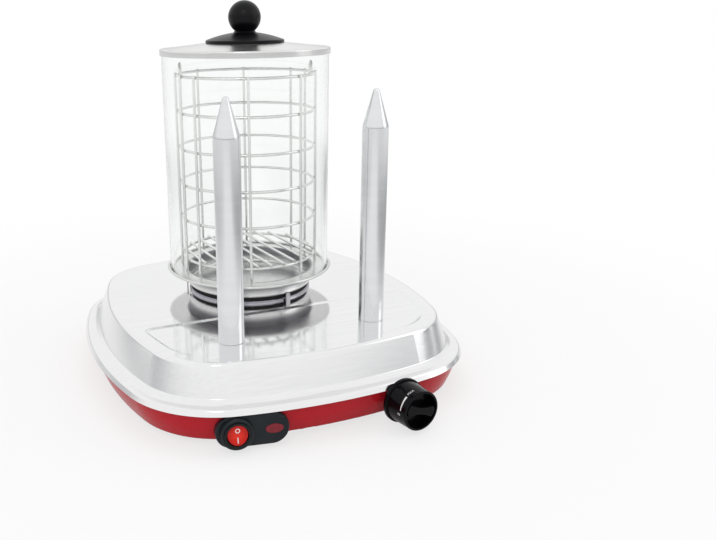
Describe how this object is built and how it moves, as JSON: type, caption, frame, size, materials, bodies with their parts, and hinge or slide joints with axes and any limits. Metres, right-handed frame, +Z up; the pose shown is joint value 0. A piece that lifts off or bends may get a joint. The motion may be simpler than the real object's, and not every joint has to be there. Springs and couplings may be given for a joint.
{
  "type": "hot dog toaster",
  "caption": "Countertop hot dog toaster: steam bowl, wire basket and lidded glass cylinder behind upright bun spikes, on a rounded base with rocker switch, pilot light and thermostat knob.",
  "frame": {"origin": "on the table, under the middle of the flat top's plan, between the front and back walls", "axes": "+X to the object's right, -Y towards the front with the controls, +Z up"},
  "size_m": [0.3338, 0.371, 0.3391],
  "materials": {
    "polished_steel": "polished",
    "brushed_steel": "brushed",
    "zinc_steel": "zinc plated",
    "red_plastic": "gloss",
    "black_enamel": "satin",
    "polished_aluminium": "satin polished",
    "cast_aluminium": "as cast",
    "black_rubber": "matte",
    "black_plastic": "gloss",
    "grey_plastic": "fine grain",
    "orange_plastic": "gloss, translucent",
    "red_lens": "clear red",
    "white_ceramic": "unglazed ceramic",
    "clear_glass": "clear",
    "lamp_glass": "clear",
    "brass_terminals": "bright",
    "lead_cover": "silicone sleeve"
  },
  "bodies": {
    "base": {"base_pan": "red_plastic", "bottom_plate": "zinc_steel", "feet": "black_rubber", "cover_posts": "zinc_steel", "base_screws": "zinc_steel", "top_cover": "polished_steel", "bowl_seal": "black_rubber", "bowl_tabs": "brushed_steel", "steam_bowl": "polished_steel", "heater_plate": "cast_aluminium", "heater_element": "zinc_steel", "heater_bridge": "zinc_steel", "heater_nut": "zinc_steel", "thermal_cutout": "white_ceramic", "spike_left": "polished_aluminium", "spike_right": "polished_aluminium", "spike_heaters": "zinc_steel", "spike_washers": "zinc_steel", "spike_nuts": "zinc_steel", "control_pod": "grey_plastic", "switch_body": "black_plastic", "switch_blades": "brass_terminals", "indicator_lens": "red_lens", "indicator_lamp": "lamp_glass", "thermostat_body": "white_ceramic", "thermostat_nut": "zinc_steel", "knob_collar": "polished_steel", "cord_gland": "black_rubber", "terminal_block": "white_ceramic", "leads": "lead_cover"},
    "rocker": {"rocker": "orange_plastic"},
    "thermostat_dial": {"thermostat_knob": "black_plastic", "thermostat_shaft": "zinc_steel"},
    "glass": {"glass_cylinder": "clear_glass"},
    "lid": {"lid_plate": "polished_steel", "lid_knob": "black_plastic", "lid_washer": "zinc_steel", "lid_screw": "zinc_steel"},
    "basket": {"basket_rings": "polished_steel", "basket_uprights": "polished_steel", "basket_floor": "polished_steel", "basket_grips": "polished_steel"}
  },
  "joints": [
    {"name": "rocker_tilt", "type": "hinge", "parent": "base", "child": "rocker", "pos_m": [-0.08764, -0.16494, 0.0177], "axis": [0.9863, -0.165, 0], "range_deg": [0, 15]},
    {"name": "dial_turn", "type": "hinge", "parent": "base", "child": "thermostat_dial", "pos_m": [0.05538, -0.17101, 0.0211], "axis": [-0.1219, 0.9925, 0], "range_deg": [0, 270]},
    {"name": "glass_lift", "type": "slide", "parent": "base", "child": "glass", "axis": [0, 0, 1], "range_m": [0, 0.22]},
    {"name": "lid_lift", "type": "slide", "parent": "glass", "child": "lid", "axis": [0, 0, 1], "range_m": [0, 0.24]},
    {"name": "basket_lift", "type": "slide", "parent": "base", "child": "basket", "axis": [0, 0, 1], "range_m": [0, 0.24]}
  ],
  "couplings": [
    {"joint": "basket_lift", "follows": "lid_lift", "ratio": 1}
  ]
}
